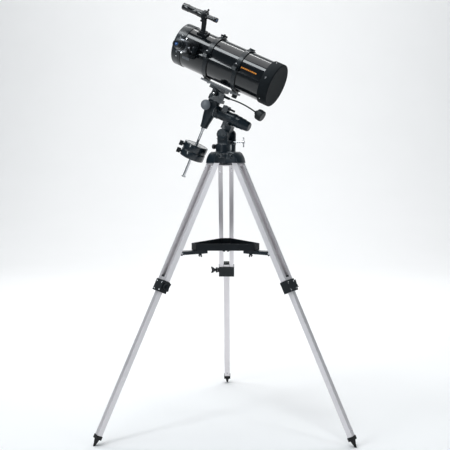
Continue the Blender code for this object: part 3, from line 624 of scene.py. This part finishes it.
def finderPieces(s):
    base = head @ shift(0, 0, tubeRise) @ turned(-s["angle"], "X")
    at = (s["stem"], 0, s["rise"])
    piece = finished(lathe(s["tube"], "X", at), "finderFine", "tube_body", "gloss_black_tube",
                     "gloss_black_tube", matrix=base)
    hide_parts("finder_tube")
    replaced.add("finder_tube")
    finished(lathe(s["lens"], "X", at, 64), "finderLens", "tube_body", "blueLens", None, matrix=base)
    finished(lathe(s["eyeLens"], "X", at, 48), "finderEyeLens", "tube_body", "blueLens", None, matrix=base)
    # Three aiming screws standing out of the bracket's ring
    for i, turn in enumerate(s["aimTurns"]):
        finished(lathe(s["aimScrew"], steps=28), "aimScrew%d" % i, "tube_body", "black_plastic",
                 "black_plastic", matrix=base @ Matrix.Translation(at) @ turned(turn, "X"))
    for i, y in enumerate(s["footScrews"]):
        screwHead("finderFootScrew%d" % i, base @ shift(s["stem"] + s["footBack"], y, s["footRise"]),
                  "tube_body", 0.0024, 0.0013)


finderPieces(finderShape)
print("finder ready")


# Hexagon bolt on a washer
def hexBolt(name, matrix, body, radius, height, skin="bright_chrome"):
    bm = bmesh.new()
    bmesh.ops.create_circle(bm, cap_ends=True, segments=6, radius=radius)
    grow(bm, (0, 0, height))
    rim = [e for e in bm.edges if all(abs(v.co.z - height) < 1e-6 for v in e.verts)]
    bmesh.ops.bevel(bm, geom=rim, offset=radius * 0.14, affect="EDGES", segments=2, profile=0.5, material=-1)
    bmesh.ops.translate(bm, vec=(0, 0, 0.0001), verts=bm.verts)
    washer = bmesh.new()
    bmesh.ops.create_circle(washer, cap_ends=True, segments=32, radius=radius * 1.28)
    grow(washer, (0, 0, -0.0006))
    takeIn(bm, washer)
    bmesh.ops.translate(bm, vec=(0, 0, 0.0007), verts=bm.verts)
    return finished(bm, name, body, skin, slotOfSkin(skin), matrix=matrix)


# Screws, cradle bolts, plate knob and setting circles of the head
headShape = {
    "worm": (("A", 0.0020, 0.0500), ("B", -0.0340, 0.0480), ("C", -0.0340, 0.0620)), "wormFace": 0.0359,
    "cradleBolts": (-0.0460, 0.0460), "cradleUnder": 0.0787,
    "knob": {"radius": 0.0088, "tall": 0.0120, "ribs": 14, "at": (-0.0600, 0, 0.0785)},
    "circles": (("decCircle", "dec_head", "Z", (0, 0, 0.0480), 0.02362, 0.0014),
                ("raCircle", "ra_head", "X", (-0.0190, 0, 0), 0.0207, 0.0012)),
    "circleWall": 0.0009, "marks": 36}


def headBits(s):
    screwHead("raScrewB", head @ shift(-0.0530, 0.0110, 0.0334), "polar_head", 0.0026, 0.0016,
              "black_casting")
    for letter, x, z in s["worm"]:
        screwHead("wormScrew" + letter, head @ shift(x, s["wormFace"], z) @ turnTo["Y"], "ra_head", 0.0022,
                  0.0012, "black_casting")
    for i, x in enumerate(s["cradleBolts"]):
        hexBolt("cradleBolt%d" % i, head @ shift(x, 0, s["cradleUnder"]) @ turnTo["-Z"], "dec_head", 0.0050,
                0.0036)
    # Deep knob under the rear ring's foot
    knob = s["knob"]
    bm = ribbed(knob["radius"], 0.0, knob["tall"], knob["ribs"], 0.0008)
    bmesh.ops.rotate(bm, cent=(0, 0, 0), matrix=Matrix.Rotation(pi, 3, "X"), verts=bm.verts)
    finished(bm, "plateKnob", "dec_head", "black_plastic", "black_plastic",
             matrix=head @ Matrix.Translation(knob["at"]))
    # Setting circles: a ring with fine marks at each axis
    for name, body, axis, at, radius, half in s["circles"]:
        place = head @ Matrix.Translation(at) @ turnTo[axis]
        inner = radius - s["circleWall"]
        bm = lathe([(inner, -half), (radius, -half), (radius, half), (inner, half)], steps=72)
        finished(bm, name, body, "grey_casting", "grey_casting", matrix=place)
        marks = bmesh.new()
        for i in range(s["marks"]):
            tall = half * (0.85 if i % 3 == 0 else 0.5)
            turn = turned(360 * i / s["marks"], "Z") @ shift(radius + 0.00005, 0, 0)
            size = Matrix.Diagonal((0.0002, 0.00035, 2 * tall, 1))
            bmesh.ops.create_cube(marks, size=1.0, matrix=turn @ size)
        finished(marks, name + "Marks", body, "whiteMark", None, matrix=place)


headBits(headShape)

# Latitude scale on the near cheek, its pointer, and the base's index mark
forkShape = {"marks": 9, "first": -60, "step": 15, "radius": 0.0165, "face": 0.0301,
             "long": 0.0030, "short": 0.0018, "markSize": (0.0002, 0.0005),
             "pointer": (0.0192, 0.0245, -0.0150), "pointerSize": (0.0045, 0.0009),
             "index": (0, 0.0340, -0.0450), "indexSize": (0.0034, 0.0003, 0.0190), "indexTurn": 54}


def forkBits(s):
    for i in range(s["marks"]):
        mark = softCube((s["short"] if i % 2 else s["long"],) + s["markSize"], 0, 0)
        place = turned(-(s["first"] + s["step"] * i) - 90, "Y") @ shift(s["radius"], s["face"], 0)
        finished(mark, "latitudeMark%d" % i, "azimuth_head", "whiteMark", None, matrix=fork @ place)
    pointer = bmesh.new()
    radius, thick = s["pointerSize"]
    bmesh.ops.create_circle(pointer, cap_ends=True, segments=3, radius=radius)
    grow(pointer, (0, 0, thick))
    finished(pointer, "latitudePointer", "azimuth_head", "bright_chrome", "bright_chrome",
             matrix=fork @ Matrix.Translation(s["pointer"]) @ turnTo["Y"])
    finished(softCube(s["indexSize"], 0, 0), "azimuthIndex", "azimuth_head", "whiteMark", None,
             matrix=fork @ turned(s["indexTurn"], "Z") @ Matrix.Translation(s["index"]))


forkBits(forkShape)

# Ribbed lock knobs: name, node, radius, low, high, ribs, place
ringKnob = (0.0079, 0.0058, 0.0150, 12)
knobShape = {
    "knobs": (
        ("decLatch", "dec_lock_knob", (0.0081, 0.0365, 0.0482, 14), shift(-0.0080, 0, 0.0580) @ turnTo["Y"]),
        ("ringKnobFront", "ring_front_knob", ringKnob, shift(0.056, 0.084, tubeRise)),
        ("ringKnobRear", "ring_rear_knob", ringKnob, shift(-0.056, 0.084, tubeRise))),
    "depth": 0.0008, "shank": 0.0021, "shankLength": 0.0060, "tip": (0.0026, 0.0020, 0.0033)}


def roundKnobs(s):
    for name, node, (radius, low, high, ribs), place in s["knobs"]:
        matrix = head @ place
        body = bodyOfNode[node]
        piece = finished(ribbed(radius, low, high, ribs, s["depth"]), name, body, "black_plastic",
                         "black_plastic", matrix=matrix)
        under, over = low - s["shankLength"], low + 0.0002
        shank = lathe([(0, under), (s["shank"], under), (s["shank"], over), (0, over)], steps=20)
        finished(shank, name + "Shank", body, "bright_chrome", "bright_chrome", matrix=matrix)
        wide, narrow, tall = s["tip"]
        tip = lathe([(0, high - 0.0008), (wide, high - 0.0008), (wide, high + tall - 0.0009),
                     (narrow, high + tall - 0.0002), (0, high + tall)], steps=28)
        finished(tip, name + "Tip", body, "bright_chrome", "bright_chrome", matrix=matrix)
        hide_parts(node)
        replaced.add(node)


roundKnobs(knobShape)

# Winged thumb screws of the leg clamps, along the leg's own cross axis
wingShape = {
    "down": -0.4700, "half": 0.0032, "edge": 0.0011,
    "outline": ((0.0030, -0.0340), (0.0030, -0.0400), (0.0052, -0.0445), (0.0105, -0.0500),
                (0.0135, -0.0560), (0.0135, -0.0580), (0.0060, -0.0560)),
    "waist": (0.0, -0.0545),
    "boss": ((0, -0.0335), (0.0092, -0.0335), (0.0100, -0.0343), (0.0100, -0.0392), (0.0092, -0.0402),
             (0.0050, -0.0412), (0, -0.0412)),
    "shank": ((0, -0.0338), (0.0025, -0.0338), (0.0025, -0.0118), (0, -0.0118))}


def clampWings(s):
    outline = list(s["outline"]) + [s["waist"]] + [(-x, z) for x, z in reversed(s["outline"])]
    for side, m in legs.items():
        place = m @ shift(0, 0, s["down"]) @ turnTo["X"]
        bm = bmesh.new()
        bm.faces.new([bm.verts.new((x, -s["half"], z)) for x, z in outline])
        grow(bm, (0, 2 * s["half"], 0))
        bmesh.ops.recalc_face_normals(bm, faces=bm.faces)
        bmesh.ops.bevel(bm, geom=bm.edges[:], offset=s["edge"], affect="EDGES", segments=3, profile=0.5,
                        material=-1)
        takeIn(bm, lathe(s["boss"], steps=48))
        piece = finished(bm, "clampWing_" + side, "clamp_screw_" + side, "black_plastic", "black_plastic",
                         matrix=place)
        finished(lathe(s["shank"], steps=24), "clampShank_" + side, "clamp_screw_" + side, "bright_chrome",
                 "bright_chrome", matrix=place)
        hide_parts("clamp_knob_" + side)
        replaced.add("clamp_knob_" + side)


clampWings(wingShape)

# Counterweights: radius and height from the lower face, then radius and depth under the upper face
weightShape = {
    "tops": (("upper", -0.1300), ("lower", -0.1560)), "bore": 0.0052, "radius": 0.0425, "tall": 0.0255,
    "turn": 42, "rim": ((0.0395, 0), (0.0410, 0.0004), (0.0421, 0.0014)), "rimTall": 0.0030,
    "face": ((0.0340, 0), (0.0333, 0.0006), (0.0165, 0.0006), (0.0158, 0)),
    "boss": ((0.0033, 0.0421), (0.0062, 0.0421), (0.0062, 0.0430), (0.0055, 0.0434), (0.0033, 0.0434))}


def weightPieces(s):
    turn = head @ turned(s["turn"], "Z")
    for name, high in s["tops"]:
        low = high - s["tall"]
        profile = [(s["bore"], low)] + [(r, low + h) for r, h in s["rim"]]
        profile += [(s["radius"], low + s["rimTall"]), (s["radius"], high - s["rimTall"])]
        profile += [(r, high - h) for r, h in reversed(s["rim"])] + [(r, high - h) for r, h in s["face"]]
        profile.append((s["bore"], high))
        piece = finished(lathe(profile, steps=128), "weight_" + name + "_fine", "weight_" + name,
                         "weight_iron", "weight_iron", matrix=turn)
        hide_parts("counterweight_" + name)
        replaced.add("counterweight_" + name)
        finished(lathe(s["boss"], "X", (0, 0, (low + high) / 2), 40), "weightBoss_" + name, "weight_" + name,
                 "weight_iron", "weight_iron", matrix=turn)


weightPieces(weightShape)
print("head and weights ready")

# Screws, hinge bolts, arm brackets and plugs of each leg, in the leg's own frame
legShape = {
    "strutScrews": ((-0.0190, -0.0440), (0.0190, -0.0560), (0.0190, -0.0440), (-0.0190, -0.0560)),
    "strutFace": 0.0089, "strutScrew": (0.0024, 0.0013),
    "hinge": 0.0312, "hingeBolt": (0.0056, 0.0040),
    "hingeLip": ((0.0088, -0.0008), (0.0104, -0.0008), (0.0106, 0.0006), (0.0098, 0.0016), (0.0088, 0.0008)),
    "clampX": 0.0190, "clampFace": 0.0124, "clampScrew": (0.0023, 0.0013),
    "clampRows": (("clampScrew", -0.4600), ("clampFootScrew", -0.4850)),
    "bracket": (0.0022, 0.0120, 0.0150), "bracketAt": (0.0166, 0.0010), "bracketEdge": 0.0007,
    "pinAt": 0.0177, "pin": (0.0030, 0.0016),
    "plug": (0.0210, 0.0162, 0.0060), "plugAt": -0.4389, "plugEdge": 0.0012,
    "footScrewAt": (0.0083, -0.9700), "footScrew": (0.0028, 0.0018)}


def legBits(s):
    for side, m in legs.items():
        body = "leg_" + side
        # Two cross screws through each strut below the hub, on both faces
        for k, (x, z) in enumerate(s["strutScrews"]):
            screwHead("legScrew_%s_%d" % (side, k), m @ shift(x, s["strutFace"], z) @ turnTo["Y"], body,
                      *s["strutScrew"])
            screwHead("legBackScrew_%s_%d" % (side, k), m @ shift(x, -s["strutFace"], z) @ turnTo["-Y"], body,
                      *s["strutScrew"])
        for end in (-1, 1):
            tag = "_%s_%d" % (side, end + 1)
            at = m @ shift(end * s["hinge"], 0, 0) @ turnTo["X" if end > 0 else "-X"]
            hexBolt("hingeBolt" + tag, at, "tripod", *s["hingeBolt"], "weight_iron")
            finished(lathe(s["hingeLip"], steps=48), "hingeLip" + tag, "tripod", "black_casting",
                     "black_casting", matrix=at)
            for name, z in s["clampRows"]:
                screwHead(name + tag, m @ shift(end * s["clampX"], s["clampFace"], z) @ turnTo["Y"], body,
                          *s["clampScrew"])
        # Bracket on the leg that carries the tray's arm
        local = m.inverted() @ jointAt("brace_%s_fold" % side)
        x, out = s["bracketAt"]
        for end in (-1, 1):
            tag = "_%s_%d" % (side, end + 1)
            finished(softCube(s["bracket"], s["bracketEdge"], 2), "armBracket" + tag, body, "black_casting",
                     "black_casting", matrix=m @ shift(end * x, local.y + out, local.z))
            turn = turnTo["X" if end > 0 else "-X"]
            screwHead("armPin" + tag, m @ shift(end * s["pinAt"], local.y, local.z) @ turn, body, *s["pin"])
        # Plug in the top of the lower tube, and the small screws that hold the foot
        finished(softCube(s["plug"], s["plugEdge"], 3), "tubePlug_" + side, "lower_" + side, "black_plastic",
                 "black_plastic", matrix=m @ shift(0, 0, s["plugAt"]))
        y, z = s["footScrewAt"]
        screwHead("footScrew_" + side, m @ shift(0, y, z) @ turnTo["Y"], "lower_" + side, *s["footScrew"])
        screwHead("footScrewIn_" + side, m @ shift(0, -y, z) @ turnTo["-Y"], "lower_" + side,
                  *s["footScrew"])


legBits(legShape)

# Wing nuts under the tray
trayWingShape = {
    "under": -0.0125, "out": 0.098, "wing": (0.0085, 0.0022, 0.0100), "wingAt": (0.0070, -0.0060),
    "lean": -24, "edge": 0.0009,
    "nut": ((0, -0.0062), (0.0036, -0.0060), (0.0046, -0.0020), (0.0048, 0.0), (0, 0.0))}


def wingNuts(s):
    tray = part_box("accessory_tray")
    middle = Vector((standAt.x, standAt.y, 0))
    for side in legs:
        arm = jointAt("brace_%s_fold" % side)
        outward = (Vector((arm.x, arm.y, 0)) - middle).normalized()
        spot = middle + Vector((0, 0, tray[0][2] + s["under"])) + outward * s["out"]
        nut = lathe(s["nut"], steps=32)
        wings = bmesh.new()
        x, z = s["wingAt"]
        for end in (-1, 1):
            bmesh.ops.create_cube(wings, size=1.0, matrix=shift(end * x, 0, z) @ turned(end * s["lean"], "Y")
                                  @ Matrix.Diagonal(s["wing"] + (1,)))
        bmesh.ops.bevel(wings, geom=wings.edges[:], offset=s["edge"], affect="EDGES", segments=3, profile=0.5,
                        material=-1)
        takeIn(nut, wings)
        turn = Matrix.Rotation(atan2(outward.y, outward.x) + pi / 2, 4, "Z")
        finished(nut, "trayWing_" + side, "arm_" + side, "black_plastic", "black_plastic",
                 matrix=Matrix.Translation(spot) @ turn)


wingNuts(trayWingShape)
print("stand details ready")

# Every other CAD piece, merged and softened; the thin cable keeps its edges
legTubes = {"leg_%s_%s" % (side, half): "aluminium_" + side for side in legs for half in ("upper", "lower")}
carried = [node for node in sorted(frame["nodes"]) if node not in replaced]
for node in carried:
    shape = dict(refineShape, edge=0.0) if node == "dec_cable" else refineShape
    refineNode(node, legTubes.get(node, slotOfNode[node]), shape)
print("carried-over pieces:", len(carried))

# Floor sweep, light and camera
floorShape = {"size": 14.0, "back": 0.75, "bend": 3.0, "rise": 5, "steps": 24, "roughness": 0.9,
              "dark": rgb(0.90, 0.90, 0.90), "light": rgb(0.93, 0.93, 0.93)}


def pullEdges(bm, edges, vec):
    grown = bmesh.ops.extrude_edge_only(bm, edges=edges)["geom"]
    bmesh.ops.translate(bm, vec=vec, verts=[g for g in grown if isinstance(g, bmesh.types.BMVert)])


def studio(s):
    bm = bmesh.new()
    half = s["size"] / 2
    edge = bm.edges.new([bm.verts.new((x, -half, 0)) for x in (-half, half)])
    pullEdges(bm, [edge], (0, s["size"] * s["back"], 0))
    back = [e for e in bm.edges if all(v.co.y > 0 for v in e.verts)]
    geom = back + list({v for e in back for v in e.verts})
    y = back[0].verts[0].co.y
    bmesh.ops.spin(bm, geom=geom, cent=(0, y, s["bend"]), axis=(1, 0, 0), angle=pi / 2, steps=s["steps"])
    top = max(v.co.z for v in bm.verts)
    rim = [e for e in bm.edges if all(abs(v.co.z - top) < 1e-4 for v in e.verts)]
    pullEdges(bm, rim, (0, 0, s["rise"]))
    bmesh.ops.recalc_face_normals(bm, faces=bm.faces)
    mesh = bpy.data.meshes.new("paleSweep")
    bm.to_mesh(mesh)
    bm.free()
    mesh.shade_smooth()
    sweep = bpy.data.objects.new("paleSweep", mesh)
    bpy.context.scene.collection.objects.link(sweep)
    paper = Finish("palePaper", {"Roughness": s["roughness"]})
    mesh.materials.append(paper.feed(colour=paper.blend(paper.noise(2.0, 2), s["dark"], s["light"])))


studio(floorShape)

# Soft lights: name, place, aim, size, power, tint
coolTint = (0.92, 0.97, 1.0)
lightShape = (
    ("overhead", (-0.7, -0.9, 3.0), (0, -0.1, 1.1), (2.6, 0.5), 34, coolTint),
    ("leftKey", (-2.6, -2.4, 2.2), (0, 0, 0.9), (0.5, 2.2), 34, coolTint),
    ("rightFill", (2.8, -2.2, 1.6), (0, 0, 0.8), (0.6, 2.2), 20, coolTint),
    ("backdropWash", (0, 1.2, 4.2), (0, 5.5, 1.6), (5.0, 1.0), 200, (1, 1, 1)),
    ("floorWash", (0, 0.5, 5.0), (0, 0.8, 0.0), (5.0, 4.0), 95, (1, 1, 1)))
airShape = {"colour": rgb(0.80, 0.91, 1), "strength": 0.14}


def softbox(name, spot, aim, size, power, tint):
    data = bpy.data.lights.new(name, "AREA")
    data.shape = "RECTANGLE"
    data.size, data.size_y = size
    data.energy = power
    data.color = tint
    lamp = bpy.data.objects.new(name, data)
    lamp.location = spot
    lamp.rotation_euler = (Vector(aim) - Vector(spot)).to_track_quat("-Z", "Y").to_euler()
    bpy.context.scene.collection.objects.link(lamp)


for row in lightShape:
    softbox(*row)
world = bpy.data.worlds.new("studioAir")
world.use_nodes = True
world.node_tree.nodes["Background"].inputs[0].default_value = airShape["colour"]
world.node_tree.nodes["Background"].inputs[1].default_value = airShape["strength"]
bpy.context.scene.world = world
bpy.context.scene.view_settings.view_transform = "Standard"

cameraShape = {"x": 0.0367, "back": 2.598, "height": 0.9043, "down": 4.784, "turn": 0.859, "lens": 61.06}


def placeCamera(s):
    data = bpy.data.cameras.new("camera")
    data.sensor_width = 36
    data.lens = s["lens"]
    data.clip_end = 60
    camera = bpy.data.objects.new("camera", data)
    camera.location = (s["x"], standAt.y - s["back"], s["height"])
    camera.rotation_euler = (radians(90 - s["down"]), 0, radians(s["turn"]))
    bpy.context.scene.collection.objects.link(camera)
    bpy.context.scene.camera = camera


placeCamera(cameraShape)
print("studio ready")
